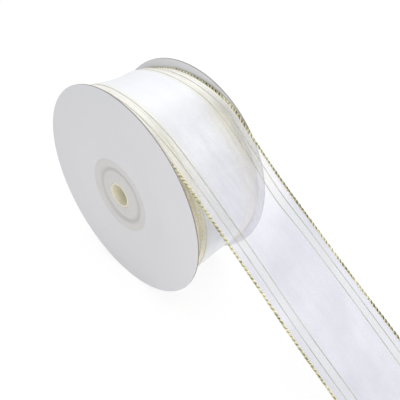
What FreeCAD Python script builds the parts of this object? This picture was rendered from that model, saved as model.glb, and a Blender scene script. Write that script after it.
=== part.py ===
# Ribbon spool: a reel of two paperboard flanges on a moulded core, and the sheer wired-edge
# ribbon wound on it. Millimetres. The spool's axis is Y, +Z is up, and the loose end of the
# ribbon runs out towards +X. The origin is on the bore's axis, midway between the flanges.
import FreeCAD, Part
import math
import os
import Sketcher

document = FreeCAD.newDocument("ribbon_spool")
dims = document.addObject("Spreadsheet::Sheet", "dims")

DRIVING_DIMENSIONS = {
    # ribbon
    "ribbon_wide": 38.0,        # edge to edge, over both wired edges
    "web_thick": 0.2,
    "edge_wide": 1.0,           # gold thread bound over a wire along each edge
    "edge_thick": 0.9,
    "wire_rad": 0.2,
    "wire_gap": 0.02,           # thread to wire
    "stripe_wide": 0.6,
    "stripe_thick": 0.1,
    "stripe_gap": 0.02,         # stripe to web
    "outer_stripe_in": 3.8,     # ribbon's edge to the middle of each stripe
    "inner_stripe_in": 7.1,
    # wound ribbon
    "wound_rad": 43.5,          # over the bound edges
    "wound_gap": 0.3,           # innermost turn to the drum
    # path of the loose end
    "lift_gap": 0.3,            # loose end to the roll, where it lies on top
    "leave_rad": 52.0,          # bend over the top, as the ribbon leaves the roll
    "leave_slope": 38.0,        # degrees below level
    "landing_rad": 80.0,
    "tail_reach": 186.0,        # axis to the cut end
    # flanges
    "board_rad": 47.5,
    "board_thick": 0.8,
    "side_gap": 0.3,            # ribbon's edge to the flange beside it
    "hole_gap": 0.2,            # flange's hole to the cap's ring inside it
    "dish_deep": 1.0,           # middle of the flange, pressed in over the cap's lip
    # core drum
    "drum_rad": 26.0,
    "drum_wall": 1.4,
    "collar_wall": 1.3,
    "rib_thick": 1.2,
    "rib_recess": 0.8,          # ribs stop short of the collar's ends
    "drum_ribs": 6,
    # start tape
    "tape_thick": 0.1,
    "tape_gap": 0.06,
    "tape_wide": 24.0,
    "tape_angle": 50.0,
    # end caps, from the lip inwards, with depths below the board round them
    "lip_rad": 18.4,            # lip that the board covers
    "lip_wide": 1.4,
    "lip_thick": 1.2,
    "ring_wide": 2.4,           # ring that shows in the board's hole
    "ring_edge_deep": 0.15,
    "bevel_top_deep": 0.3,
    "bevel_wide": 1.6,
    "groove_deep": 0.6,
    "groove_wide": 0.6,
    "face_deep": 0.4,           # face inside the groove
    "cap_skin": 1.2,
    "plug_rad": 12.3,
    "plug_wall": 1.1,
    "plug_deep": 8.0,
    "plug_gap": 0.06,           # plug to collar
    "boss_wall": 1.4,
    "boss_deep": 6.0,
    "gusset_thick": 1.0,
    "gusset_deep": 4.0,
    "gussets": 6,
    "cap_round": 0.2,
    # bore tube
    "bore_rad": 5.0,
    "tube_wall": 0.8,
    "tube_gap": 0.05,           # tube to cap boss
    "tube_proud": 0.15,         # tube's end above the face of the cap
    "tube_round": 0.1,
}

for row, (alias, size) in enumerate(DRIVING_DIMENSIONS.items(), start=1):
    dims.set(f"A{row}", alias)
    dims.set(f"B{row}", str(size))
    dims.setAlias(f"B{row}", alias)
document.recompute()

# Places that several pieces share, as expressions on the sheet.
HALF_RIBBON = "dims.ribbon_wide / 2"
WEB_EDGE = f"({HALF_RIBBON} - dims.edge_wide)"
BOARD_INNER = f"({HALF_RIBBON} + dims.side_gap)"
BOARD_OUTER = f"({BOARD_INNER} + dims.board_thick)"
COLLAR_RAD = "(dims.plug_rad + dims.plug_gap)"
COLLAR_OUTER = f"({COLLAR_RAD} + dims.collar_wall)"
DRUM_INNER = "(dims.drum_rad - dims.drum_wall)"
RING_RAD = "(dims.lip_rad - dims.lip_wide)"
HOLE_RAD = f"({RING_RAD} + dims.hole_gap)"
LIP_TOP = f"({BOARD_INNER} - dims.dish_deep)"
LIP_SEAT = f"({LIP_TOP} - dims.lip_thick)"
DISH_FACE = f"({BOARD_OUTER} - dims.dish_deep)"
TUBE_RAD = "(dims.bore_rad + dims.tube_wall)"
BOSS_RAD = f"({TUBE_RAD} + dims.tube_gap)"
BOSS_OUTER = f"({BOSS_RAD} + dims.boss_wall)"
TAPE_INNER = "(dims.drum_rad + dims.tape_gap)"
TAPE_OUTER = f"({TAPE_INNER} + dims.tape_thick)"
WOUND_INNER = "(dims.drum_rad + dims.wound_gap)"
WOUND_WEB_RAD = "(dims.wound_rad - dims.edge_thick / 2 + dims.web_thick / 2)"
TAIL_TOP = "(dims.wound_rad + dims.lift_gap + dims.edge_thick / 2)"
EDGE_MIDDLE = f"({HALF_RIBBON} - dims.edge_wide / 2)"
WIRE_HOLE = "(dims.wire_rad + dims.wire_gap)"
FLOOR_LINE = "(dims.edge_thick / 2 - dims.board_rad)"

ACROSS_AXIS = "XZ_Plane"
ALONG_AXIS = "XY_Plane"
UPRIGHT_ACROSS = "YZ_Plane"
START = 1
END = 2
CENTRE = 3
ORIGIN = (-1, 1)
UPRIGHT_AXIS = -2


def new_body(label):
    body = document.addObject("PartDesign::Body", label)
    body.Label = label
    return body


def new_sketch(body, name, plane_role):
    sketch = body.newObject("Sketcher::SketchObject", name)
    plane = [feature for feature in body.Origin.OriginFeatures if feature.Role == plane_role][0]
    sketch.AttachmentSupport = [(plane, "")]
    sketch.MapMode = "FlatFace"
    return sketch


def number(expression):
    return float(dims.evalExpression(expression.replace("dims.", "")))


def bind(sketch, kind, *arguments_and_expression):
    *arguments, expression = arguments_and_expression
    index = sketch.addConstraint(Sketcher.Constraint(kind, *arguments, number(expression)))
    sketch.setExpression(f"Constraints[{index}]", expression)


def add_outline(sketch, corners):
    """A closed outline of straight sides, each corner held by two expressions."""
    points = [FreeCAD.Vector(number(across), number(along), 0) for across, along in corners]
    first = sketch.GeometryCount
    for index, point in enumerate(points):
        following = points[(index + 1) % len(points)]
        sketch.addGeometry(Part.LineSegment(point, following))
    for index, (across, along) in enumerate(corners):
        side = first + index
        following = first + (index + 1) % len(corners)
        sketch.addConstraint(Sketcher.Constraint("Coincident", side, END, following, START))
        bind(sketch, "DistanceX", *ORIGIN, side, START, across)
        bind(sketch, "DistanceY", *ORIGIN, side, START, along)


def rectangle(inner, outer, low, high):
    return [(inner, low), (outer, low), (outer, high), (inner, high)]


def add_circle(sketch, across, along, radius):
    middle = FreeCAD.Vector(number(across), number(along), 0)
    circle = sketch.addGeometry(Part.Circle(middle, FreeCAD.Vector(0, 0, 1), number(radius)))
    bind(sketch, "DistanceX", *ORIGIN, circle, CENTRE, across)
    bind(sketch, "DistanceY", *ORIGIN, circle, CENTRE, along)
    bind(sketch, "Radius", circle, radius)


def add_turned(body, name, *outlines, angle="360"):
    """Turns outlines of (radius, place along Y) about the spool's axis."""
    section = new_sketch(body, f"{name}_section", ALONG_AXIS)
    for outline in outlines:
        add_outline(section, outline)
    turning = body.newObject("PartDesign::Revolution", f"{name}_turning")
    turning.Profile = section
    turning.ReferenceAxis = (section, ["V_Axis"])
    turning.Midplane = True
    turning.setExpression("Angle", angle)


def turned(label, *outlines, angle="360"):
    body = new_body(label)
    add_turned(body, label, *outlines, angle=angle)
    return body


def add_ribs(body, name, outline, thick, count):
    """Flat ribs that stand on planes through the axis, repeated round it."""
    section = new_sketch(body, f"{name}_section", ALONG_AXIS)
    add_outline(section, outline)
    rib = body.newObject("PartDesign::Pad", name)
    rib.Profile = section
    rib.Midplane = True
    rib.setExpression("Length", thick)
    document.recompute()
    pattern = body.newObject("PartDesign::PolarPattern", f"{name}_pattern")
    pattern.Originals = [rib]
    pattern.Axis = (section, ["V_Axis"])
    pattern.Angle = 360
    pattern.setExpression("Occurrences", count)
    body.Tip = pattern


def round_edges(body, radius, name, wanted):
    """Rounds the circular edges whose radius and place along Y are wanted."""
    document.recompute()
    edges = []
    for index, edge in enumerate(body.Shape.Edges, start=1):
        if not isinstance(edge.Curve, Part.Circle):
            continue
        for rim, along in wanted:
            same_rim = abs(edge.Curve.Radius - number(rim)) < 1e-4
            same_place = abs(edge.Curve.Center.y - number(along)) < 1e-4
            if same_rim and same_place:
                edges.append(f"Edge{index}")
    sharp = body.Tip
    rounding = body.newObject("PartDesign::Fillet", name)
    rounding.Base = (sharp, edges)
    rounding.setExpression("Radius", radius)
    body.Tip = rounding


# Paperboard flange: a die-cut disc glued to the drum's end, with a hole that shows the cap.
# Inside the drum's wall its middle is pressed in, down to the cap's lip.
def flange(label, side):
    return turned(label, [
        (HOLE_RAD, f"{side} * {LIP_TOP}"),
        ("dims.lip_rad", f"{side} * {LIP_TOP}"),
        (DRUM_INNER, f"{side} * {BOARD_INNER}"),
        ("dims.board_rad", f"{side} * {BOARD_INNER}"),
        ("dims.board_rad", f"{side} * {BOARD_OUTER}"),
        (DRUM_INNER, f"{side} * {BOARD_OUTER}"),
        ("dims.lip_rad", f"{side} * {DISH_FACE}"),
        (HOLE_RAD, f"{side} * {DISH_FACE}"),
    ])


# Moulded end cap: a lip that the board traps on the drum's collar, a ring in the board's hole
# that slopes down to a groove, a sunk face, a plug that is pushed into the drum's collar,
# and a boss round the bore tube, stiffened by gussets.
def end_cap(label, side):
    def below_board(depth):
        return f"{side} * ({DISH_FACE} - ({depth}))"

    lip_top = f"{side} * {LIP_TOP}"
    lip_back = f"{side} * {LIP_SEAT}"
    plug_inner = "(dims.plug_rad - dims.plug_wall)"
    bevel_top = f"({RING_RAD} - dims.ring_wide)"
    bevel_foot = f"({bevel_top} - dims.bevel_wide)"
    groove_inner = f"({bevel_foot} - dims.groove_wide)"
    face_back = "dims.face_deep + dims.cap_skin"
    boss_end = "dims.face_deep + dims.boss_deep"
    body = turned(label, [
        (BOSS_RAD, below_board("dims.face_deep")),
        (groove_inner, below_board("dims.face_deep")),
        (groove_inner, below_board("dims.groove_deep")),
        (bevel_foot, below_board("dims.groove_deep")),
        (bevel_top, below_board("dims.bevel_top_deep")),
        (RING_RAD, below_board("dims.ring_edge_deep")),
        (RING_RAD, lip_top),
        ("dims.lip_rad", lip_top),
        ("dims.lip_rad", lip_back),
        ("dims.plug_rad", lip_back),
        ("dims.plug_rad", below_board("dims.plug_deep")),
        (plug_inner, below_board("dims.plug_deep")),
        (plug_inner, below_board(face_back)),
        (BOSS_OUTER, below_board(face_back)),
        (BOSS_OUTER, below_board(boss_end)),
        (BOSS_RAD, below_board(boss_end)),
    ])
    gusset = rectangle(
        f"({BOSS_OUTER} - dims.boss_wall / 2)", f"({plug_inner} + dims.plug_wall / 2)",
        below_board(f"{face_back} + dims.gusset_deep"), below_board(f"{face_back} - dims.cap_skin / 2"))
    add_ribs(body, f"{label}_gusset", gusset, "dims.gusset_thick", "dims.gussets")
    round_edges(body, "dims.cap_round", f"{label}_rounding", [
        (bevel_top, below_board("dims.bevel_top_deep")),
        (RING_RAD, below_board("dims.ring_edge_deep")),
    ])
    return body


# Core drum: the wall that the ribbon is wound on, a collar that the caps' plugs fit and their
# lips sit on, the web between them at mid-width, and ribs from collar to wall.
def core_drum():
    half_web = "dims.rib_thick / 2"
    into_wall = f"({DRUM_INNER} + dims.drum_wall / 2)"
    wall = rectangle(DRUM_INNER, "dims.drum_rad", f"-1 * {BOARD_INNER}", BOARD_INNER)
    body = turned("core_drum", wall)
    add_turned(body, "drum_inside", [
        (COLLAR_RAD, f"-1 * {LIP_SEAT}"),
        (COLLAR_OUTER, f"-1 * {LIP_SEAT}"),
        (COLLAR_OUTER, f"-1 * {half_web}"),
        (into_wall, f"-1 * {half_web}"),
        (into_wall, half_web),
        (COLLAR_OUTER, half_web),
        (COLLAR_OUTER, LIP_SEAT),
        (COLLAR_RAD, LIP_SEAT),
    ])
    rib_end = f"({LIP_SEAT} - dims.rib_recess)"
    rib_start = f"({COLLAR_OUTER} - dims.collar_wall / 2)"
    add_ribs(body, "drum_rib", rectangle(rib_start, into_wall, f"-1 * {rib_end}", rib_end),
             "dims.rib_thick", "dims.drum_ribs")
    return body


def bore_tube():
    end = f"({DISH_FACE} - dims.face_deep + dims.tube_proud)"
    body = turned("bore_tube", rectangle("dims.bore_rad", TUBE_RAD, f"-1 * {end}", end))
    round_edges(body, "dims.tube_round", "tube_rounding", [
        (TUBE_RAD, end), (TUBE_RAD, f"-1 * {end}")])
    return body


# Tape that holds the ribbon's inner end on the drum.
def start_tape():
    half_wide = "dims.tape_wide / 2"
    return turned("start_tape", rectangle(TAPE_INNER, TAPE_OUTER, f"-1 * {half_wide}", half_wide),
                  angle="dims.tape_angle")


# The wound turns: the sheer web, and along each side the stack of bound edges with the
# stack of wire inside it.
def wound_web():
    return turned("wound_web", rectangle(WOUND_INNER, WOUND_WEB_RAD, f"-1 * {WEB_EDGE}", WEB_EDGE))


def wound_wire(label, side):
    return turned(label, wire_stack("dims.wire_rad", "0", side))


def wire_stack(half_wide, clearance, side):
    inner = f"({WOUND_INNER} + dims.edge_thick / 2 - {half_wide} - {clearance})"
    outer = f"(dims.wound_rad - dims.edge_thick / 2 + {half_wide} + {clearance})"
    low = f"{side} * ({EDGE_MIDDLE} - {half_wide} - {clearance})"
    high = f"{side} * ({EDGE_MIDDLE} + {half_wide} + {clearance})"
    return rectangle(inner, outer, low, high)


def wound_edge(label, side):
    outside = rectangle(WOUND_INNER, "dims.wound_rad",
                        f"{side} * {WEB_EDGE}", f"{side} * {HALF_RIBBON}")
    return turned(label, outside, wire_stack("dims.wire_rad", "dims.wire_gap", side))


def ribbon_path(body):
    """Middle line of the loose end: over the top of the roll, straight down, and on to the floor."""
    path = new_sketch(body, f"{body.Label}_path", ACROSS_AXIS)
    leave_rad = number("dims.leave_rad")
    landing_rad = number("dims.landing_rad")
    slope = math.radians(number("dims.leave_slope"))
    top = number(TAIL_TOP)
    floor = number(FLOOR_LINE)

    leave_height = top - leave_rad * (1 - math.cos(slope))
    leave_point = (leave_rad * math.sin(slope), leave_height)
    landing_height = floor + landing_rad * (1 - math.cos(slope))
    run_reach = (leave_height - landing_height) / math.tan(slope)
    landing_point = (leave_point[0] + run_reach, landing_height)
    landing_centre = (landing_point[0] + landing_rad * math.sin(slope), floor + landing_rad)

    quarter = math.pi / 2
    leaving = add_arc(path, (0, top - leave_rad), leave_rad, quarter - slope, quarter)
    run = add_line(path, leave_point, landing_point)
    landing = add_arc(path, landing_centre, landing_rad, 3 * quarter - slope, 3 * quarter)
    level = add_line(path, (landing_centre[0], floor), (number("dims.tail_reach"), floor))

    def tie(kind, *arguments):
        path.addConstraint(Sketcher.Constraint(kind, *arguments))

    tie("PointOnObject", leaving, CENTRE, UPRIGHT_AXIS)
    tie("PointOnObject", leaving, END, UPRIGHT_AXIS)
    tie("Tangent", leaving, START, run, START)
    tie("Tangent", run, END, landing, START)
    tie("Tangent", landing, END, level, START)
    tie("Horizontal", level)
    bind(path, "Radius", leaving, "dims.leave_rad")
    bind(path, "Radius", landing, "dims.landing_rad")
    bind(path, "DistanceY", *ORIGIN, leaving, END, TAIL_TOP)
    bind(path, "DistanceY", *ORIGIN, level, END, FLOOR_LINE)
    bind(path, "DistanceX", *ORIGIN, level, END, "dims.tail_reach")
    index = path.addConstraint(Sketcher.Constraint("Angle", run, -slope))
    path.setExpression(f"Constraints[{index}]", "-1 * dims.leave_slope")
    return path


def add_arc(sketch, centre, radius, start_angle, end_angle):
    middle = FreeCAD.Vector(*centre, 0)
    circle = Part.Circle(middle, FreeCAD.Vector(0, 0, 1), radius)
    return sketch.addGeometry(Part.ArcOfCircle(circle, start_angle, end_angle))


def add_line(sketch, start, end):
    return sketch.addGeometry(Part.LineSegment(FreeCAD.Vector(*start, 0), FreeCAD.Vector(*end, 0)))


def led_along_ribbon(label, draw_section):
    """A band or strand of the loose end: a section across its start, led along its path."""
    body = new_body(label)
    path = ribbon_path(body)
    section = new_sketch(body, f"{label}_section", UPRIGHT_ACROSS)
    draw_section(section)
    strand = body.newObject("PartDesign::AdditivePipe", f"{label}_pipe")
    strand.Profile = section
    strand.Spine = (path, [])
    return body


# The loose end's sheer web, between its bound edges.
def tail_web():
    def draw(section):
        half_thick = "dims.web_thick / 2"
        add_outline(section, rectangle(
            f"-1 * {WEB_EDGE}", WEB_EDGE,
            f"{TAIL_TOP} - {half_thick}", f"{TAIL_TOP} + {half_thick}"))
    return led_along_ribbon("tail_web", draw)


# Gold thread overcast round the wire that stiffens the ribbon's edge.
def tail_edge(label, side):
    def draw(section):
        half_thick = "dims.edge_thick / 2"
        add_outline(section, rectangle(
            f"{side} * {WEB_EDGE}", f"{side} * {HALF_RIBBON}",
            f"{TAIL_TOP} - {half_thick}", f"{TAIL_TOP} + {half_thick}"))
        add_circle(section, f"{side} * {EDGE_MIDDLE}", TAIL_TOP, WIRE_HOLE)
    return led_along_ribbon(label, draw)


def tail_wire(label, side):
    def draw(section):
        add_circle(section, f"{side} * {EDGE_MIDDLE}", TAIL_TOP, "dims.wire_rad")
    return led_along_ribbon(label, draw)


# Flat gold yarn that runs along the web.
def tail_stripe(label, side, distance_in):
    def draw(section):
        under = f"({TAIL_TOP} + dims.web_thick / 2 + dims.stripe_gap)"
        middle = f"{side} * ({HALF_RIBBON} - {distance_in})"
        half_wide = "dims.stripe_wide / 2"
        add_outline(section, rectangle(
            f"{middle} - {half_wide}", f"{middle} + {half_wide}",
            under, f"{under} + dims.stripe_thick"))
    return led_along_ribbon(label, draw)


bodies = [core_drum(), bore_tube(), start_tape(), wound_web(), tail_web()]
for side_name, side in (("front", "-1"), ("rear", "1")):
    bodies += [
        flange(f"{side_name}_flange", side),
        end_cap(f"{side_name}_cap", side),
        wound_wire(f"wound_wire_{side_name}", side),
        wound_edge(f"wound_edge_{side_name}", side),
        tail_wire(f"tail_wire_{side_name}", side),
        tail_edge(f"tail_edge_{side_name}", side),
        tail_stripe(f"tail_stripe_{side_name}_outer", side, "dims.outer_stripe_in"),
        tail_stripe(f"tail_stripe_{side_name}_inner", side, "dims.inner_stripe_in"),
    ]
document.recompute()

for item in document.Objects:
    if "Invalid" in item.State or "Error" in item.State:
        raise RuntimeError(f"{item.Name} did not build: {item.State}")
for body in bodies:
    if body.Shape.isNull() or not body.Shape.isValid() or len(body.Shape.Solids) != 1:
        raise RuntimeError(f"{body.Label} is not one valid solid")

os.makedirs("parts", exist_ok=True)
for body in bodies:
    body.Shape.exportStep(f"parts/{body.Label}.step")
    print(f"{body.Label}: {body.Shape.Volume:.1f} mm3")
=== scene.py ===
import math
import random

import bpy
import numpy as np
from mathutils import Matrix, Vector


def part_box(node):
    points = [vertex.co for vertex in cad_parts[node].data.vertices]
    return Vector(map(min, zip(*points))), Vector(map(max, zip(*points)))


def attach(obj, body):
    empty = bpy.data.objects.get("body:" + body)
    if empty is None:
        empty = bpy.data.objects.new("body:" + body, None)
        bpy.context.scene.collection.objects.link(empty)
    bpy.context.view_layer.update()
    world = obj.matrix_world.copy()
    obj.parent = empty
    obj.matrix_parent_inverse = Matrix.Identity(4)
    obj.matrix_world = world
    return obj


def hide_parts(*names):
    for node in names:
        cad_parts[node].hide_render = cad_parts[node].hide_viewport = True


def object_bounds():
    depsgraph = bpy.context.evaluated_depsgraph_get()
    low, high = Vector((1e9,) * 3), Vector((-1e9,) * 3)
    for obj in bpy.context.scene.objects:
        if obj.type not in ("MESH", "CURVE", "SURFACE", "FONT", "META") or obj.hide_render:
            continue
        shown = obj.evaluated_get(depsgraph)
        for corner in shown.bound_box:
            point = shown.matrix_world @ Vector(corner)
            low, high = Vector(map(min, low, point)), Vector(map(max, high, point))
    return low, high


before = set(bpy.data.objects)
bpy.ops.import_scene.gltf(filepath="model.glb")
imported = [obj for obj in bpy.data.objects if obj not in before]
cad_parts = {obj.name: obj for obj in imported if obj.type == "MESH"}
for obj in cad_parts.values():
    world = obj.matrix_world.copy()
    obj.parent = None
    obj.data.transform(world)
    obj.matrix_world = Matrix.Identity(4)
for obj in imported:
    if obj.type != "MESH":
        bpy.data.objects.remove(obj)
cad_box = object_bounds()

MM = 0.001
scene = bpy.context.scene


# ---------------------------------------------------------------- camera and studio
# A short lens close to the spool, above its front right, so that the front board is seen
# nearly face on and the loose end runs out of the lower right corner.

camera_data = bpy.data.cameras.new("camera")
camera_data.sensor_width = 36
camera_data.lens = 35.5
camera_data.clip_start = 0.01
camera = bpy.data.objects.new("camera", camera_data)
camera.location = (116.5 * MM, -91.8 * MM, 102.4 * MM)
looking = Vector((-0.5403, 0.5701, -0.6189))
camera.rotation_euler = looking.to_track_quat("-Z", "Y").to_euler()
scene.collection.objects.link(camera)
scene.camera = camera
scene.view_settings.view_transform = "Standard"

floor_height = cad_box[0][2]


def new_material(name):
    material = bpy.data.materials.new(name)
    material.use_nodes = True
    nodes = material.node_tree.nodes
    return material, nodes, material.node_tree.links, nodes["Principled BSDF"]


def link_object(name, data):
    thing = bpy.data.objects.new(name, data)
    scene.collection.objects.link(thing)
    return thing


# White paper sweep under and behind the spool. It takes the soft shadow, and what the
# camera sees of it is lifted to plain white.
def paper_sweep():
    mesh = bpy.data.meshes.new("paper_sweep")
    half = 3.0
    corners = [(-half, -half), (half, -half), (half, half), (-half, half)]
    mesh.from_pydata([(x, y, floor_height) for x, y in corners], [], [(0, 1, 2, 3)])
    sweep = link_object("paper_sweep", mesh)
    material, nodes, links, paper = new_material("sweep_paper")
    paper.inputs["Roughness"].default_value = 0.9
    grain = nodes.new("ShaderNodeTexNoise")
    grain.inputs["Scale"].default_value = 900
    shade = nodes.new("ShaderNodeMix")
    shade.data_type = "RGBA"
    shade.inputs["A"].default_value = (0.95, 0.945, 0.94, 1)
    shade.inputs["B"].default_value = (0.97, 0.965, 0.96, 1)
    links.new(grain.outputs["Fac"], shade.inputs["Factor"])
    rays = nodes.new("ShaderNodeLightPath")
    seen = nodes.new("ShaderNodeMix")
    seen.data_type = "RGBA"
    seen.inputs["B"].default_value = (0.20, 0.20, 0.20, 1)
    links.new(rays.outputs["Is Camera Ray"], seen.inputs["Factor"])
    links.new(shade.outputs["Result"], seen.inputs["A"])
    links.new(seen.outputs["Result"], paper.inputs["Base Color"])
    lift = nodes.new("ShaderNodeMath")
    lift.operation = "MULTIPLY"
    lift.inputs[1].default_value = 0.82
    links.new(rays.outputs["Is Camera Ray"], lift.inputs[0])
    links.new(lift.outputs["Value"], paper.inputs["Emission Strength"])
    paper.inputs["Emission Color"].default_value = (1, 1, 1, 1)
    mesh.materials.append(material)


paper_sweep()


# Even white light from all round, as in a light tent. The camera sees it as plain white.
def studio_light():
    world = bpy.data.worlds.new("studio")
    scene.world = world
    world.use_nodes = True
    nodes, links = world.node_tree.nodes, world.node_tree.links
    surround = nodes["Background"]
    rays = nodes.new("ShaderNodeLightPath")
    brightness = nodes.new("ShaderNodeMix")
    brightness.inputs["A"].default_value = 0.785
    brightness.inputs["B"].default_value = 1.0
    links.new(rays.outputs["Is Camera Ray"], brightness.inputs["Factor"])
    links.new(brightness.outputs["Result"], surround.inputs["Strength"])
    surround.inputs["Color"].default_value = (1, 1, 1, 1)


studio_light()


def soft_box(name, place, size, watts, colour):
    lamp = bpy.data.lights.new(name, "AREA")
    lamp.shape = "SQUARE"
    lamp.size = size
    lamp.energy = watts
    lamp.color = colour
    light = link_object(name, lamp)
    light.location = place
    light.rotation_euler = (-Vector(place)).to_track_quat("-Z", "Y").to_euler()


soft_box("overhead_box", (0.10, 0.12, 0.60), 0.55, 1.25, (0.97, 0.985, 1.0))
soft_box("side_box", (0.55, 0.10, 0.30), 0.35, 0.30, (1.0, 0.99, 0.97))
soft_box("low_box", (0.50, -0.20, 0.01), 0.28, 0.64, (1.0, 0.95, 0.88))


# ---------------------------------------------------------------- flanges
# Discs of grey board lined with white paper on both faces, die-cut, dished round the hole and
# glued on the drum's ends. The die rolls the liner a little way over the cut edge, and the grey
# core shows between the liners.

SIDES = (("front", -1), ("rear", 1))


def effect_group(name, inputs, outputs):
    """A shader node group with named sockets; inputs are (name, value), outputs are names."""
    group = bpy.data.node_groups.new(name, "ShaderNodeTree")
    for socket, value in inputs:
        made = group.interface.new_socket(socket, in_out="INPUT", socket_type="NodeSocketFloat")
        made.default_value = value
    for socket in outputs:
        group.interface.new_socket(socket, in_out="OUTPUT", socket_type="NodeSocketFloat")
    given, result = group.nodes.new("NodeGroupInput"), group.nodes.new("NodeGroupOutput")
    return group, group.nodes, group.links, given, result


def place_group(nodes, group, **values):
    """The group placed in a material, with that material's own values."""
    placed = nodes.new("ShaderNodeGroup")
    placed.node_tree = group
    for socket, value in values.items():
        placed.inputs[socket.replace("_", " ")].default_value = value
    return placed


def tone_and_fibre():
    """Slow unevenness of tone, and fine fibre, both over the piece's own shape."""
    group, nodes, links, given, result = effect_group(
        "tone_and_fibre", [("Tone Scale", 40), ("Fibre Scale", 1500)], ["Tone", "Fibre"])
    place = nodes.new("ShaderNodeTexCoord")
    for scale, detail, output in (("Tone Scale", 3, "Tone"), ("Fibre Scale", 6, "Fibre")):
        noise = nodes.new("ShaderNodeTexNoise")
        noise.inputs["Detail"].default_value = detail
        links.new(place.outputs["Object"], noise.inputs["Vector"])
        links.new(given.outputs[scale], noise.inputs["Scale"])
        links.new(noise.outputs["Fac"], result.inputs[output])
    return group


TONE_AND_FIBRE = tone_and_fibre()


def two_tones(nodes, links, mask, first, second):
    """First colour where the mask is 0, second where it is 1."""
    mix = nodes.new("ShaderNodeMix")
    mix.data_type = "RGBA"
    mix.inputs["A"].default_value = (*first, 1)
    mix.inputs["B"].default_value = (*second, 1)
    links.new(mask, mix.inputs["Factor"])
    return mix.outputs["Result"]


def bump_from(nodes, links, shader, height, strength, distance):
    bump = nodes.new("ShaderNodeBump")
    bump.inputs["Strength"].default_value = strength
    bump.inputs["Distance"].default_value = distance
    links.new(height, bump.inputs["Height"])
    links.new(bump.outputs["Normal"], shader.inputs["Normal"])


def turned(name, outline, materials, around=256):
    """A piece turned about the spool's axis from (radius, place along Y, finish) points."""
    angles = np.linspace(0, 2 * math.pi, around, endpoint=False)
    points = [(r * math.cos(a), y, r * math.sin(a)) for r, y, _ in outline for a in angles]
    count = len(outline)
    faces = []
    finishes = []
    for ring in range(count):
        following = (ring + 1) % count
        for step in range(around):
            beside = (step + 1) % around
            faces.append((ring * around + step, following * around + step,
                          following * around + beside, ring * around + beside))
            finishes.append(outline[ring][2])
    mesh = bpy.data.meshes.new(name)
    mesh.from_pydata(points, [], faces)
    for material in materials:
        mesh.materials.append(material)
    mesh.polygons.foreach_set("material_index", finishes)
    mesh.polygons.foreach_set("use_smooth", [True] * len(faces))
    mesh.set_sharp_from_angle(angle=math.radians(40))
    return link_object(name, mesh)


def outward(outline, side, start):
    """The outline with heights measured out from start along the side's direction."""
    placed = [(r, side * (start + height), finish) for r, height, finish in outline]
    return placed if side < 0 else placed[::-1]


def liner_paper():
    material, nodes, links, paper = new_material("liner_paper")
    effect = place_group(nodes, TONE_AND_FIBRE, Tone_Scale=28, Fibre_Scale=1800)
    white = two_tones(nodes, links, effect.outputs["Tone"],
                      (0.685, 0.695, 0.725), (0.735, 0.73, 0.76))
    links.new(white, paper.inputs["Base Color"])
    paper.inputs["Roughness"].default_value = 0.62
    paper.inputs["Specular IOR Level"].default_value = 0.35
    bump_from(nodes, links, paper, effect.outputs["Fibre"], 0.25, 0.04 * MM)
    return material


def board_core():
    material, nodes, links, board = new_material("board_core")
    effect = place_group(nodes, TONE_AND_FIBRE, Tone_Scale=260, Fibre_Scale=3200)
    grey = two_tones(nodes, links, effect.outputs["Fibre"], (0.20, 0.18, 0.16), (0.42, 0.39, 0.35))
    links.new(grey, board.inputs["Base Color"])
    board.inputs["Roughness"].default_value = 0.9
    bump_from(nodes, links, board, effect.outputs["Fibre"], 0.8, 0.15 * MM)
    return material


LINER = liner_paper()
CORE = board_core()


def flange(side_name, side):
    node = f"{side_name}_flange"
    low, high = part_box(node)
    radius = high.x
    thick = 0.8 * MM
    face_place = max(abs(low.y), abs(high.y))
    dish_deep = high.y - low.y - thick
    dish_start = 31 * MM
    dish_end = 18.6 * MM
    hole = 17.02 * MM
    liner = 0.12 * MM
    rolled = 0.10 * MM
    steps = 12
    slope = [(dish_end + (dish_start - dish_end) * k / steps,
              -dish_deep * (1 + math.cos(math.pi * k / steps)) / 2) for k in range(steps + 1)]
    outline = [
        (hole, -dish_deep, 1),
        *[(r, height, 0) for r, height in slope],
        (radius - 2 * rolled, 0, 0),
        (radius - 0.5 * rolled, 0.4 * rolled, 0),
        (radius, liner, 1),
        (radius + 0.04 * MM, thick * 0.35, 1),
        (radius - 0.02 * MM, thick * 0.5, 1),
        (radius + 0.05 * MM, thick * 0.7, 1),
        (radius, thick - liner, 0),
        (radius - 0.6 * rolled, thick - 0.3 * rolled, 0),
        (radius - 2.5 * rolled, thick, 0),
        *[(r, height + thick, 0) for r, height in reversed(slope)],
        (hole + 0.5 * rolled, thick - dish_deep, 0),
        (hole + 0.1 * rolled, thick - dish_deep - 0.2 * rolled, 0),
        (hole, thick - dish_deep - liner, 0),
    ]
    placed = outward(outline, side, face_place - thick)
    disc = turned(f"{side_name}_board", placed, [LINER, CORE])
    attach(disc, "reel")
    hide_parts(node)


for side_name, side in SIDES:
    flange(side_name, side)


# ---------------------------------------------------------------- end caps
# Moulded off-white plastic, its plug pushed into the drum's collar. The board covers and traps the
# cap's lip. The ring slopes down to a soft groove, and the face inside it lies lower; the plastic
# in and beside the groove is painted darker, as painted shade.

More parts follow.
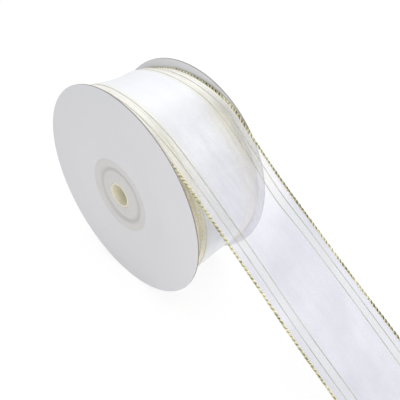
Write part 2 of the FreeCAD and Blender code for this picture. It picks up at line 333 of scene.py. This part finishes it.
def cap_plastic():
    groove = 12.4 * MM
    groove_shade_reach = 1.9 * MM
    material, nodes, links, plastic = new_material("cap_plastic")
    effect = place_group(nodes, TONE_AND_FIBRE, Tone_Scale=120, Fibre_Scale=2600)
    place = nodes.new("ShaderNodeTexCoord")
    flat = nodes.new("ShaderNodeVectorMath")
    flat.operation = "MULTIPLY"
    flat.inputs[1].default_value = (1, 0, 1)
    links.new(place.outputs["Object"], flat.inputs[0])
    distance = nodes.new("ShaderNodeVectorMath")
    distance.operation = "LENGTH"
    links.new(flat.outputs["Vector"], distance.inputs[0])
    # Painted shade: within this reach of the groove the plastic is given a darker tone, standing in
    # for the shadow on the groove's soft walls.
    groove_shade = nodes.new("ShaderNodeMapRange")
    groove_shade.interpolation_type = "SMOOTHSTEP"
    groove_shade.inputs["From Min"].default_value = groove_shade_reach
    groove_shade.inputs["From Max"].default_value = 0
    from_groove = nodes.new("ShaderNodeMath")
    from_groove.operation = "SUBTRACT"
    from_groove.inputs[1].default_value = groove
    links.new(distance.outputs["Value"], from_groove.inputs[0])
    either_side = nodes.new("ShaderNodeMath")
    either_side.operation = "ABSOLUTE"
    links.new(from_groove.outputs["Value"], either_side.inputs[0])
    links.new(either_side.outputs["Value"], groove_shade.inputs["Value"])
    unshaded_tones = two_tones(nodes, links, effect.outputs["Tone"],
                      (0.61, 0.605, 0.595), (0.655, 0.65, 0.64))
    shaded_tones = two_tones(nodes, links, effect.outputs["Fibre"],
                      (0.545, 0.54, 0.535), (0.585, 0.58, 0.575))
    mix = nodes.new("ShaderNodeMix")
    mix.data_type = "RGBA"
    links.new(unshaded_tones, mix.inputs["A"])
    links.new(shaded_tones, mix.inputs["B"])
    links.new(groove_shade.outputs["Result"], mix.inputs["Factor"])
    links.new(mix.outputs["Result"], plastic.inputs["Base Color"])
    plastic.inputs["Roughness"].default_value = 0.42
    plastic.inputs["Subsurface Weight"].default_value = 0.15
    plastic.inputs["Subsurface Radius"].default_value = (1.2 * MM, 1.0 * MM, 0.7 * MM)
    bump_from(nodes, links, plastic, effect.outputs["Fibre"], 0.15, 0.02 * MM)
    return material


CAP_PLASTIC = cap_plastic()


def eased(start, end, steps=8):
    """Points from start to end, each (radius, height), level at both ends."""
    share = [k / steps for k in range(1, steps + 1)]
    return [(start[0] + (end[0] - start[0]) * s,
             start[1] + (end[1] - start[1]) * (1 - math.cos(math.pi * s)) / 2, 0) for s in share]


def end_cap(side_name, side):
    node = f"{side_name}_cap"
    board_low, board_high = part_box(f"{side_name}_flange")
    board = 0.8 * MM
    board_face = min(abs(board_low.y), abs(board_high.y)) + board
    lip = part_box(node)[1].x
    ring = lip - 1.4 * MM
    lip_thick = 1.2 * MM
    ring_inner = (ring - 3.0 * MM, -0.2 * MM)
    groove = (12.5 * MM, -1.1 * MM)
    face = (11.2 * MM, -0.7 * MM)
    boss = (7.6 * MM, -0.35 * MM)
    skin = 1.2 * MM
    plug = 12.3 * MM
    plug_wall = 1.1 * MM
    plug_deep = 8 * MM
    boss_in = 5.85 * MM
    boss_out = boss_in + 1.4 * MM
    boss_deep = 6 * MM
    outline = [
        (boss_in, boss[1], 0),
        (*boss, 0),
        *eased(boss, face, 6),
        *eased(face, groove, 6),
        *eased(groove, ring_inner),
        (ring - 0.15 * MM, -0.01 * MM, 0),
        (ring, -0.04 * MM, 0),
        (ring, -board, 0),
        (lip, -board, 0),
        (lip, -board - lip_thick, 0),
        (plug, -board - lip_thick, 0),
        (plug, -plug_deep, 0),
        (plug - plug_wall, -plug_deep, 0),
        (plug - plug_wall, face[1] - skin, 0),
        (boss_out, face[1] - skin, 0),
        (boss_out, face[1] - boss_deep, 0),
        (boss_in, face[1] - boss_deep, 0),
    ]
    placed = outward(outline[::-1], side, board_face)
    cap = turned(f"{side_name}_end_cap", placed, [CAP_PLASTIC], 192)
    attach(cap, "reel")
    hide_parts(node)


for side_name, side in SIDES:
    end_cap(side_name, side)


# ---------------------------------------------------------------- core
# A moulded plastic drum with a collar, a web and ribs, hidden under the ribbon; crepe tape holds
# the ribbon's start on it. The bore tube is ivory plastic, through the bosses of both caps and a
# little proud of them, with a rolled lip at each end.

def core_plastic(name, light, dark, roughness):
    material, nodes, links, plastic = new_material(name)
    effect = place_group(nodes, TONE_AND_FIBRE, Tone_Scale=90, Fibre_Scale=1900)
    tone = two_tones(nodes, links, effect.outputs["Tone"], dark, light)
    links.new(tone, plastic.inputs["Base Color"])
    plastic.inputs["Roughness"].default_value = roughness
    bump_from(nodes, links, plastic, effect.outputs["Fibre"], 0.2, 0.03 * MM)
    return material


def finish_node(node, material):
    """The frame's own piece stays as it is, in this finish."""
    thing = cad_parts[node]
    thing.data.materials.clear()
    thing.data.materials.append(material)


DRUM_PLASTIC = core_plastic("drum_plastic", (0.72, 0.70, 0.62), (0.66, 0.64, 0.56), 0.5)
CREPE_TAPE = core_plastic("crepe_tape", (0.80, 0.72, 0.52), (0.72, 0.64, 0.45), 0.8)
TUBE_PLASTIC = core_plastic("tube_plastic", (0.84, 0.81, 0.68), (0.78, 0.74, 0.58), 0.38)
finish_node("core_drum", DRUM_PLASTIC)
finish_node("start_tape", CREPE_TAPE)


def bore_sleeve():
    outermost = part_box("bore_tube")[1]
    bore = 5.0 * MM
    lip = 0.25 * MM
    end = outermost.y
    middle = (bore + outermost.x) / 2
    wall = (outermost.x - bore) / 2
    steps = 6
    bend = [k / steps * math.pi for k in range(steps + 1)]
    rear_lip = [(middle - wall * math.cos(a), end - lip + lip * math.sin(a), 0) for a in bend]
    front_lip = [(middle + wall * math.cos(a), -end + lip - lip * math.sin(a), 0) for a in bend]
    tube = turned("bore_sleeve", (rear_lip + front_lip)[::-1], [TUBE_PLASTIC], 128)
    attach(tube, "reel")
    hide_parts("bore_tube")


bore_sleeve()


# ---------------------------------------------------------------- the roll
# Sheer ribbon wound tight on the drum, turn on turn. The turns lie so close that they read as
# one white body with cream bands, where the stripes of many turns show through each other. At
# its sides the bound edges of all the turns stack up, each with its wire.

half_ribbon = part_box("tail_edge_rear")[1].y
half_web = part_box("tail_web")[1].y


def span(nodes, links, value, low, high, start=0.0, end=1.0):
    """Start where the value is low or less, end where it is high or more, eased between."""
    ramp = nodes.new("ShaderNodeMapRange")
    ramp.interpolation_type = "SMOOTHSTEP"
    ramp.inputs["From Min"].default_value = low
    ramp.inputs["From Max"].default_value = high
    ramp.inputs["To Min"].default_value = start
    ramp.inputs["To Max"].default_value = end
    links.new(value, ramp.inputs["Value"])
    return ramp.outputs["Result"]


def combine(nodes, links, operation, first, second):
    """First and second put together; either may be a socket or a plain number."""
    maths = nodes.new("ShaderNodeMath")
    maths.operation = operation
    for given, socket in ((first, maths.inputs[0]), (second, maths.inputs[1])):
        if isinstance(given, (int, float)):
            socket.default_value = given
        else:
            links.new(given, socket)
    return maths.outputs["Value"]


def blend_tones(nodes, links, mask, first, second):
    """First where the mask is 0, second where it is 1, both of them sockets."""
    mix = nodes.new("ShaderNodeMix")
    mix.data_type = "RGBA"
    links.new(first, mix.inputs["A"])
    links.new(second, mix.inputs["B"])
    links.new(mask, mix.inputs["Factor"])
    return mix.outputs["Result"]


def wound_streaks():
    """Streaks that run round the roll where turns show through, and the specks of their weave."""
    group, nodes, links, given, result = effect_group(
        "wound_streaks", [("Streak Scale", 1300), ("Speck Scale", 1700)],
        ["Streak", "Speck", "Across"])
    place = nodes.new("ShaderNodeTexCoord")
    squeeze = nodes.new("ShaderNodeVectorMath")
    squeeze.operation = "MULTIPLY"
    squeeze.inputs[1].default_value = (0.02, 1.0, 0.02)
    links.new(place.outputs["Object"], squeeze.inputs[0])
    for source, scale, detail, output in ((squeeze.outputs["Vector"], "Streak Scale", 4, "Streak"),
                                          (place.outputs["Object"], "Speck Scale", 2, "Speck")):
        noise = nodes.new("ShaderNodeTexNoise")
        noise.inputs["Detail"].default_value = detail
        links.new(source, noise.inputs["Vector"])
        links.new(given.outputs[scale], noise.inputs["Scale"])
        links.new(noise.outputs["Fac"], result.inputs[output])
    split = nodes.new("ShaderNodeSeparateXYZ")
    links.new(place.outputs["Object"], split.inputs["Vector"])
    links.new(combine(nodes, links, "ABSOLUTE", split.outputs["Y"], 0), result.inputs["Across"])
    return group


WOUND_STREAKS = wound_streaks()


def roll_cloth():
    material, nodes, links, cloth = new_material("roll_cloth")
    effect = place_group(nodes, TONE_AND_FIBRE, Tone_Scale=60, Fibre_Scale=1400)
    wound = place_group(nodes, WOUND_STREAKS)
    wander = combine(nodes, links, "ADD", wound.outputs["Across"],
                     combine(nodes, links, "MULTIPLY", effect.outputs["Tone"], 0.8 * MM))
    band = span(nodes, links, wander, 8.6 * MM, 12.4 * MM)
    streak = span(nodes, links, wound.outputs["Streak"], 0.40, 0.60)
    speck = span(nodes, links, wound.outputs["Speck"], 0.52, 0.66)
    cream = two_tones(nodes, links, streak, (0.82, 0.79, 0.60), (0.97, 0.95, 0.83))
    pale = two_tones(nodes, links, effect.outputs["Fibre"], (0.93, 0.90, 0.80), (0.96, 0.94, 0.86))
    half_speck = combine(nodes, links, "MULTIPLY", speck, 0.5)
    specked = blend_tones(nodes, links, half_speck, cream, pale)
    white = two_tones(nodes, links, streak, (0.88, 0.88, 0.90), (0.96, 0.96, 0.98))
    links.new(blend_tones(nodes, links, band, white, specked), cloth.inputs["Base Color"])
    cloth.inputs["Roughness"].default_value = 0.6
    cloth.inputs["Sheen Weight"].default_value = 0.1
    bump_from(nodes, links, cloth, wound.outputs["Speck"], 0.3, 0.08 * MM)
    return material


def gold_yarn(name, light, dark, roughness, metallic, twist_scale):
    """Twisted yarn. Its two tones come in short glints, and in longer light and dark lengths."""
    material, nodes, links, yarn = new_material(name)
    effect = place_group(nodes, TONE_AND_FIBRE, Tone_Scale=twist_scale, Fibre_Scale=5200)
    lengths = place_group(nodes, TONE_AND_FIBRE, Tone_Scale=75, Fibre_Scale=500)
    glints = combine(nodes, links, "ADD", effect.outputs["Tone"],
                     combine(nodes, links, "MULTIPLY", lengths.outputs["Tone"], 2.2))
    links.new(two_tones(nodes, links, span(nodes, links, glints, 1.35, 1.85), dark, light),
              yarn.inputs["Base Color"])
    yarn.inputs["Metallic"].default_value = metallic
    yarn.inputs["Roughness"].default_value = roughness
    bump_from(nodes, links, yarn, effect.outputs["Fibre"], 0.6, 0.05 * MM)
    return material


PALE_THREAD = gold_yarn("pale_thread", (0.95, 0.93, 0.82), (0.80, 0.75, 0.52), 0.5, 0.05, 900)
WIRE = gold_yarn("edge_wire", (0.55, 0.54, 0.50), (0.42, 0.41, 0.38), 0.3, 1.0, 600)
for side_name, _ in SIDES:
    finish_node(f"wound_wire_{side_name}", WIRE)


def roll():
    wound_deep = 16.75 * MM
    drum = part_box("wound_web")[1].x - wound_deep
    crown = 41.85 * MM
    shoulder = 0.65 * MM
    across = np.linspace(-half_web, half_web, 41)
    surface = crown - shoulder * (across / half_web) ** 4
    outline = [(r, y, 0) for r, y in zip(surface, across)]
    outline += [(drum, half_web, 0), (drum, -half_web, 0)]
    body = turned("roll", outline[::-1], [roll_cloth()])
    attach(body, "reel")
    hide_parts("wound_web")
    turns = 45
    stack_top = 41.1 * MM
    edge_round = 0.35 * MM
    pitch = (stack_top - drum) / turns
    outer_face = []
    for turn in range(turns):
        for share in (0.1, 0.35, 0.65, 0.9):
            bulge = math.sin(share * math.pi) * edge_round
            outer_face.append((drum + (turn + share) * pitch, half_ribbon - edge_round + bulge, 0))
    outline = outer_face + [(stack_top, half_web, 0), (drum, half_web, 0)]
    for side_name, side in SIDES:
        placed = outward(outline[::-1], side, 0)
        stack = turned(f"roll_edge_{side_name}", placed, [PALE_THREAD], 160)
        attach(stack, "reel")
        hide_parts(f"wound_edge_{side_name}")


roll()


# ---------------------------------------------------------------- the turn below the last one
# The turn just under the last one, sheer enough still to be seen by itself. It is organza woven
# of fine white filament, with two stripes of gold yarn near each edge. Each edge is a wire laid
# in a pale filler strand, with gold and light thread overcast round both.

class Strip:
    """A ribbon's course: places on it are asked for by distance along, across and above."""

    def __init__(self, line, lift):
        steps = np.linalg.norm(np.diff(line, axis=0), axis=1)
        self.distance = np.concatenate([[0], np.cumsum(steps)])
        self.line = line
        self.length = self.distance[-1]
        tangent = np.gradient(line, self.distance, axis=0)
        tangent /= np.linalg.norm(tangent, axis=1)[:, None]
        self.normal = np.stack([-tangent[:, 1], tangent[:, 0]], 1)
        self.lift = lift

    def steps(self, apart):
        """Distances along the strip, this far apart, and its very end."""
        return np.concatenate([np.arange(0, self.length, apart), [self.length]])

    def follow(self, values, along):
        return np.stack([np.interp(along, self.distance, values[:, k]) for k in (0, 1)], -1)

    def place(self, along, across, above=0.0):
        along, across = np.broadcast_arrays(np.asarray(along, float), np.asarray(across, float))
        middle = self.follow(self.line, along)
        normal = self.follow(self.normal, along)
        height = self.lift(along, across, middle[..., 0]) + above
        x = middle[..., 0] + normal[..., 0] * height
        z = middle[..., 1] + normal[..., 1] * height
        return np.stack([x, across, z], -1)


def weave_group():
    """Plain weave over the flat ribbon, slow thick and thin places, long lines, and specks."""
    group, nodes, links, given, result = effect_group(
        "organza_weave",
        [("Threads per m", 4200), ("Slub Scale", 260), ("Line Scale", 2600), ("Speck Scale", 1500)],
        ["Weave", "Slub", "Line", "Speck"])
    flat = nodes.new("ShaderNodeUVMap")
    flat.uv_map = "flat"
    directions = []
    for direction in ("X", "Y"):
        wave = nodes.new("ShaderNodeTexWave")
        wave.bands_direction = direction
        wave.wave_profile = "SIN"
        wave.inputs["Distortion"].default_value = 0.6
        wave.inputs["Detail"].default_value = 1
        links.new(flat.outputs["UV"], wave.inputs["Vector"])
        links.new(given.outputs["Threads per m"], wave.inputs["Scale"])
        directions.append(wave.outputs["Fac"])
    weave = nodes.new("ShaderNodeMath")
    weave.operation = "MAXIMUM"
    links.new(directions[0], weave.inputs[0])
    links.new(directions[1], weave.inputs[1])
    links.new(weave.outputs["Value"], result.inputs["Weave"])
    for output, length in (("Slub", 0.12), ("Line", 0.025), ("Speck", 0.8)):
        stretch = nodes.new("ShaderNodeVectorMath")
        stretch.operation = "MULTIPLY"
        stretch.inputs[1].default_value = (1.0, length, 1.0)
        noise = nodes.new("ShaderNodeTexNoise")
        noise.inputs["Detail"].default_value = 4
        links.new(flat.outputs["UV"], stretch.inputs[0])
        links.new(stretch.outputs["Vector"], noise.inputs["Vector"])
        links.new(given.outputs[f"{output} Scale"], noise.inputs["Scale"])
        links.new(noise.outputs["Fac"], result.inputs[output])
    return group


WEAVE = weave_group()


def organza(name, slack_end, roll_end, free_start, on_roll, free, crowd_end=75 * MM):
    """Sheer white cloth. Where it lies on white turns its colour is painted bright, as painted
    light for what the turns below scatter back up through it; hanging free it is greyer.

    on_roll and free are its least and greatest cover in the two places. Up to slack_end it
    covers nearly fully, as the turns under it stand off the roll too, and up to crowd_end the
    gold of the edges below shows through beside its own edges."""
    selvedge_from, selvedge_to = 9.0 * MM, 12.0 * MM
    crowd_from, crowd_to, crowd_fade = 11.0 * MM, 14.5 * MM, 40 * MM
    slack_fade = 36 * MM
    start_from, start_to = 2 * MM, 45 * MM
    thinnest, thickest = 0.4, 1.2
    material, nodes, links, cloth = new_material(name)
    weave = place_group(nodes, WEAVE)
    blotch = place_group(nodes, TONE_AND_FIBRE, Tone_Scale=32, Fibre_Scale=120)
    slub, line, speck = [weave.outputs[kind] for kind in ("Slub", "Line", "Speck")]
    flat = nodes.new("ShaderNodeUVMap")
    flat.uv_map = "flat"
    places = nodes.new("ShaderNodeSeparateXYZ")
    links.new(flat.outputs["UV"], places.inputs["Vector"])
    along = places.outputs["Y"]
    from_middle = combine(nodes, links, "ABSOLUTE", places.outputs["X"], 0)
    hanging = span(nodes, links, along, roll_end, free_start)

    # On the roll: white in the middle, cream and specked towards the edges, gold beside them, all
    # painted brighter than the hanging cloth, as painted light scattered up from the white turns
    # below.
    white = two_tones(nodes, links, slub, (0.875, 0.89, 0.93), (0.94, 0.955, 0.99))
    cream = two_tones(nodes, links, span(nodes, links, line, 0.38, 0.58),
                      (0.81, 0.785, 0.67), (0.96, 0.945, 0.885))
    selvedge = span(nodes, links, from_middle, selvedge_from, selvedge_to)
    mostly_selvedge = combine(nodes, links, "MULTIPLY", selvedge, 0.8)
    lit_on_roll = blend_tones(nodes, links, mostly_selvedge, white, cream)
    pale = two_tones(nodes, links, line, (0.97, 0.96, 0.90), (0.99, 0.98, 0.95))
    specks = combine(nodes, links, "MULTIPLY", selvedge,
                     span(nodes, links, speck, 0.54, 0.66, 0, 0.7))
    lit_on_roll = blend_tones(nodes, links, specks, lit_on_roll, pale)
    gilt_mask = combine(nodes, links, "ADD", line, speck)
    gilt = two_tones(nodes, links, span(nodes, links, gilt_mask, 0.92, 1.10),
                     (0.84, 0.74, 0.46), (1.0, 0.94, 0.79))
    crowded = combine(nodes, links, "MULTIPLY",
                      span(nodes, links, from_middle, crowd_from, crowd_to),
                      span(nodes, links, along, crowd_end, crowd_end - crowd_fade))
    lit_on_roll = blend_tones(nodes, links, crowded, lit_on_roll, gilt)

    # Hanging free: cloudy grey, a little greener by the stripes.
    cloudy = combine(nodes, links, "ADD", combine(nodes, links, "MULTIPLY", slub, 0.2),
                     combine(nodes, links, "MULTIPLY", blotch.outputs["Tone"], 0.8))
    grey = two_tones(nodes, links, span(nodes, links, cloudy, 0.36, 0.64),
                     (0.50, 0.50, 0.60), (0.655, 0.655, 0.755))
    green = two_tones(nodes, links, slub, (0.54, 0.57, 0.52), (0.62, 0.65, 0.60))
    side_band = combine(nodes, links, "MULTIPLY",
                        span(nodes, links, from_middle, 10.6 * MM, 12.2 * MM),
                        span(nodes, links, from_middle, 16.6 * MM, 15.0 * MM))
    faint_band = combine(nodes, links, "MULTIPLY", side_band, 0.35)
    open_grey = blend_tones(nodes, links, faint_band, grey, green)
    # The painted brightness of the cloth on the roll gives way here to the plain grey of the
    # hanging cloth.
    links.new(blend_tones(nodes, links, hanging, lit_on_roll, open_grey), cloth.inputs["Base Color"])

    # Cover: how much of what lies behind the cloth it hides.
    texture = combine(nodes, links, "ADD", slub,
                      combine(nodes, links, "MULTIPLY", weave.outputs["Weave"], 0.45))
    standing_off = combine(nodes, links, "MULTIPLY",
                           span(nodes, links, along, slack_end, slack_end - slack_fade, 0, 0.95),
                           span(nodes, links, along, start_from, start_to))
    close_cover = combine(nodes, links, "MAXIMUM", standing_off,
                          span(nodes, links, texture, thinnest, thickest, *on_roll))
    open_cover = span(nodes, links, texture, thinnest, thickest, *free)
    cover = nodes.new("ShaderNodeMix")
    links.new(hanging, cover.inputs["Factor"])
    links.new(close_cover, cover.inputs["A"])
    links.new(open_cover, cover.inputs["B"])
    links.new(cover.outputs["Result"], cloth.inputs["Alpha"])
    cloth.inputs["Roughness"].default_value = 0.5
    cloth.inputs["Sheen Weight"].default_value = 0.1
    cloth.inputs["Specular IOR Level"].default_value = 0.2
    bump_from(nodes, links, cloth, weave.outputs["Weave"], 0.3, 0.03 * MM)
    return material


def strip_mesh(name, strip, along, across, above, material):
    """A band of the ribbon as a grid, unrolled flat in its UV map in metres."""
    grid_along, grid_across = np.meshgrid(along, across, indexing="ij")
    places = strip.place(grid_along, grid_across, above)
    rows, columns = grid_along.shape
    index = np.arange(rows * columns).reshape(rows, columns)
    faces = np.stack([index[:-1, :-1], index[1:, :-1], index[1:, 1:], index[:-1, 1:]], -1)
    mesh = bpy.data.meshes.new(name)
    mesh.from_pydata(places.reshape(-1, 3).tolist(), [], faces.reshape(-1, 4).tolist())
    flat = mesh.uv_layers.new(name="flat")
    loops = np.empty(len(mesh.loops), np.int32)
    mesh.loops.foreach_get("vertex_index", loops)
    unrolled = np.stack([grid_across.ravel(), grid_along.ravel()], 1)[loops]
    flat.data.foreach_set("uv", unrolled.astype(np.float32).ravel())
    mesh.polygons.foreach_set("use_smooth", [True] * len(mesh.polygons))
    mesh.materials.append(material)
    return link_object(name, mesh)


def tube_mesh(name, points, radius, material, sides=6):
    """A round strand along a line of points, closed at both ends."""
    points = np.asarray(points)
    tangent = np.gradient(points, axis=0)
    tangent /= np.linalg.norm(tangent, axis=1)[:, None]
    askew = np.array([0.31, 0.22, 0.92])
    side = np.cross(tangent, askew)
    side /= np.linalg.norm(side, axis=1)[:, None]
    other = np.cross(tangent, side)
    angles = np.linspace(0, 2 * math.pi, sides, endpoint=False)
    rings = (points[:, None] + radius * (np.cos(angles)[None, :, None] * side[:, None]
                                         + np.sin(angles)[None, :, None] * other[:, None]))
    count = len(points)
    index = np.arange(count * sides).reshape(count, sides)
    turned_index = np.roll(index, -1, axis=1)
    faces = np.stack([index[:-1], turned_index[:-1], turned_index[1:], index[1:]], -1)
    caps = [index[0][::-1].tolist(), index[-1].tolist()]
    mesh = bpy.data.meshes.new(name)
    mesh.from_pydata(rings.reshape(-1, 3).tolist(), [], faces.reshape(-1, 4).tolist() + caps)
    mesh.polygons.foreach_set("use_smooth", [True] * len(mesh.polygons))
    mesh.materials.append(material)
    return link_object(name, mesh)


GOLD_THREAD = gold_yarn("gold_thread", (0.44, 0.41, 0.18), (0.045, 0.04, 0.015), 0.32, 0.4, 900)
EDGE_FILLER = gold_yarn("edge_filler", (0.72, 0.70, 0.47), (0.34, 0.32, 0.15), 0.55, 0.1, 1100)
STRIPE_YARN = gold_yarn("stripe_yarn", (0.50, 0.51, 0.45), (0.36, 0.37, 0.31), 0.45, 0.2, 900)
web_step = 1.6 * MM
stitch = 1.7 * MM
wrap = 0.25 * MM
strand = 0.20 * MM


def overcast(name, strip, side, start, end, start_angle, inset, spread, thick, material, seed):
    """A thread wound round the edge; it swings from inset - spread to inset + spread inwards.

    No two stitches are alike: each slants by its own angle and reaches in by its own share."""
    slant = 1.7
    least_reach, most_reach = 0.4, 1.2
    steps = 12
    draw = random.Random(seed)
    turns = int((end - start) / stitch)
    along = np.linspace(start, end, turns * steps)
    each_turn = np.linspace(start, end, turns)
    jitter = np.interp(along, each_turn, [draw.uniform(-slant, slant) for _ in range(turns)])
    reach_in = np.interp(along, each_turn,
                         [draw.uniform(least_reach, most_reach) for _ in range(turns)])
    angle = 2 * math.pi * along / stitch + start_angle + jitter
    across = side * (half_ribbon - inset - spread * reach_in * np.sin(angle))
    points = strip.place(along, across, wrap * np.cos(angle))
    return tube_mesh(name, points, thick, material)


def bound_edge(label, strip, side, start, end, seed):
    """The filler, the looper that holds the stitches at the outside, and the two threads."""
    filler_thick, filler_inset = 0.30 * MM, 0.5 * MM
    looper_thick = 0.13 * MM
    along = np.arange(start, end, 0.8 * MM)
    middle = strip.place(along, np.full_like(along, side * (half_ribbon - filler_inset)))
    filler = tube_mesh(f"{label}_filler", middle, filler_thick, EDGE_FILLER, 8)
    outermost = strip.place(along, np.full_like(along, side * (half_ribbon - looper_thick)))
    looper = tube_mesh(f"{label}_looper", outermost, looper_thick, EDGE_FILLER)
    gold = overcast(f"{label}_gold", strip, side, start, end, start_angle=0, inset=0.42 * MM,
                    spread=0.28 * MM, thick=strand, material=GOLD_THREAD, seed=seed)
    light = overcast(f"{label}_light", strip, side, start, end, start_angle=math.pi,
                     inset=0.75 * MM, spread=0.60 * MM, thick=strand * 0.6,
                     material=PALE_THREAD, seed=seed + 1)
    return [filler, looper, gold, light]


def stripes(label, strip, start, end):
    """Two yarns woven in along each edge, as narrow bands just proud of the web."""
    half_yarn = 0.15 * MM
    proud = 0.05 * MM
    made = []
    along = np.arange(start, end, 1.2 * MM)
    for side_name, side in SIDES:
        for place_name, distance_in in (("outer", 3.8 * MM), ("inner", 7.1 * MM)):
            middle = side * (half_ribbon - distance_in)
            across = middle + np.array([-half_yarn, 0, half_yarn])
            made.append(strip_mesh(f"{label}_{side_name}_{place_name}", strip, along, across,
                                   proud, STRIPE_YARN))
    return made


def close_to_roll(along, across, x):
    """The web lies a little under its line, and its edges lower again."""
    return -0.5 * MM * (1 + (across / half_ribbon) ** 4)


def turn_below():
    radius = 42.6 * MM
    angle = np.linspace(2 * math.pi + 0.4, 0.45, 560)
    line = np.stack([radius * np.cos(angle), radius * np.sin(angle)], 1)
    strip = Strip(line, close_to_roll)
    length = strip.length
    along = strip.steps(web_step)
    across = np.linspace(-half_web, half_web, 25)
    cloth = organza("wound_organza", slack_end=0, roll_end=length, free_start=2 * length,
                    on_roll=(0.30, 0.48), free=(0.6, 0.72), crowd_end=2 * length)
    web = strip_mesh("turn_below", strip, along, across, 0, cloth)
    pieces = stripes("turn_below_stripe", strip, 0, length)
    for side_name, side in SIDES:
        pieces += bound_edge(f"turn_below_edge_{side_name}", strip, side, 0, length, 31 + side)
    for piece in [web] + pieces:
        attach(piece, "reel")


turn_below()


# ---------------------------------------------------------------- the last turn and the loose end
# The same ribbon, in one length with the turns below. It lies on the roll, lifts off over the
# top, runs down straight and bends on to the floor, where it ends in a clean cut. Nothing holds
# the loose end: the wires in its edges keep the bends they were given.

edge_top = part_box("tail_edge_rear")[1].z
web_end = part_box("tail_web")[1]
bead = (edge_top - web_end.z) + 0.1 * MM
lift_off = edge_top - bead
leave_bend = 52 * MM
leave_slope = math.radians(38)
landing_bend = 80 * MM
rest_line = floor_height + bead
reach = web_end.x


def ribbon_line():
    """Centre line of the last turn and the loose end as (x, z) points, near 0.5 mm apart.

    The last turn starts tight and stands off the roll more and more towards the top."""
    under_start = math.radians(395)
    tight = 43.02 * MM
    stand_off = 1.3 * MM
    stand_from, stand_to = math.radians(102), math.radians(385)
    turn = np.linspace(under_start, math.pi / 2, 520)
    looseness = np.clip((2 * math.pi - turn) / (1.5 * math.pi), 0, 1)
    radius = tight + (lift_off - tight) * looseness ** 1.7
    radius += stand_off / ((1 + np.exp((turn - stand_to) * 12))
                           * (1 + np.exp((stand_from - turn) * 9)))
    wound = np.stack([radius * np.cos(turn), radius * np.sin(turn)], 1)
    bend = np.linspace(0, leave_slope, 70)[1:]
    over = np.stack([leave_bend * np.sin(bend), lift_off - leave_bend * (1 - np.cos(bend))], 1)
    landing_height = rest_line + landing_bend * (1 - math.cos(leave_slope))
    run_down = over[-1][1] - landing_height
    run = np.linspace(0, 1, 160)[1:, None]
    straight = over[-1] + run * np.array([run_down / math.tan(leave_slope), -run_down])
    bend = np.linspace(leave_slope, 0, 110)[1:]
    centre = straight[-1] + landing_bend * np.array([math.sin(leave_slope), math.cos(leave_slope)])
    landing = centre - landing_bend * np.stack([np.sin(bend), np.cos(bend)], 1)
    level = np.linspace(landing[-1][0], reach, 45)[1:]
    flat = np.stack([level, np.full_like(level, rest_line)], 1)
    return np.concatenate([wound, over, straight, landing, flat])


def bump_shape(value, centre, width):
    return np.exp(-((value - centre) / width) ** 2)


def loose_lift(along, across, x):
    """Web sagging between its wired edges, slow ripples, and the twist of the loose end.

    x is the place of the ribbon's line, and the result is the height above that line."""
    share = across / half_ribbon
    towards_rear = (1 + share) / 2
    towards_front = (1 - share) / 2
    loose = along > 220 * MM
    at_top = (along > 150 * MM) & (x < 60 * MM)

    # On the roll: sagging between the wires, lower at the top, and puffed up behind it.
    sag = -0.35 * MM * (1 - share ** 2)
    settled = (-1.3 * MM * bump_shape(x, -12 * MM, 10 * MM) * towards_rear ** 5
               - 0.8 * MM * bump_shape(x, 10 * MM, 12 * MM) * towards_front)
    behind_top = 1 / (1 + np.exp((x + 14 * MM) / (4.5 * MM)))
    beside_edges = np.clip((2 * share) ** 2, 0, 1) * np.clip(1 - np.abs(share / 0.94) ** 8, 0, 1)
    puff = 0.9 * MM * behind_top * beside_edges

    # The loose end: ripples, each edge bent its own way, and one dent towards the rear.
    free = np.clip((x - 20 * MM) / (60 * MM), 0, 1) * np.clip((reach - x) / (60 * MM), 0, 1)
    ripple = 0.35 * MM * np.sin(along / (11 * MM) + 2.1 * share) * (1 - share ** 2)
    rear = (2.2 * MM * bump_shape(x, 122 * MM, 30 * MM)
            + 1.2 * MM * bump_shape(x, 28 * MM, 13 * MM))
    front = (-0.8 * MM * bump_shape(x, 95 * MM, 22 * MM)
             - 1.5 * MM * bump_shape(x, 24 * MM, 12 * MM))
    twist = rear * towards_rear ** 2 + front * towards_front ** 2
    dent = -1.7 * MM * bump_shape(x, 58 * MM, 10 * MM) * bump_shape(across, 10 * MM, 6 * MM)
    waves = np.where(loose, free * ripple + twist + dent, 0)
    return sag + np.where(at_top, settled, 0) + puff + waves


def loose_end():
    strip = Strip(ribbon_line(), loose_lift)
    # Where its line last passes three places along x: it stops hiding what is under it, it
    # starts to leave the roll, and it hangs free.
    slack, lying, hangs = [strip.distance[np.flatnonzero(strip.line[:, 0] < x)[-1]]
                           for x in (42 * MM, 24 * MM, 70 * MM)]
    cloth = organza("organza", slack_end=slack, roll_end=lying, free_start=hangs,
                    on_roll=(0.38, 0.58), free=(0.60, 0.72))
    along = strip.steps(web_step)
    across = np.linspace(-half_web, half_web, 37)
    web = strip_mesh("ribbon_web", strip, along, across, 0, cloth)
    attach(web, "ribbon")
    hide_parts("tail_web")
    cut_back = 0.3 * MM
    end = strip.length - cut_back
    on_web = []
    for side_name, side in SIDES:
        strands = bound_edge(f"ribbon_edge_{side_name}", strip, side, 0, end, 11 + side)
        for strand_piece in strands:
            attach(strand_piece, "ribbon")
        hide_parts(f"tail_edge_{side_name}", f"tail_wire_{side_name}")
        on_web += strands
    for stripe in stripes("ribbon_stripe", strip, 0, end):
        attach(stripe, "ribbon")
        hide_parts(stripe.name.replace("ribbon_stripe", "tail_stripe"))
        on_web.append(stripe)


loose_end()
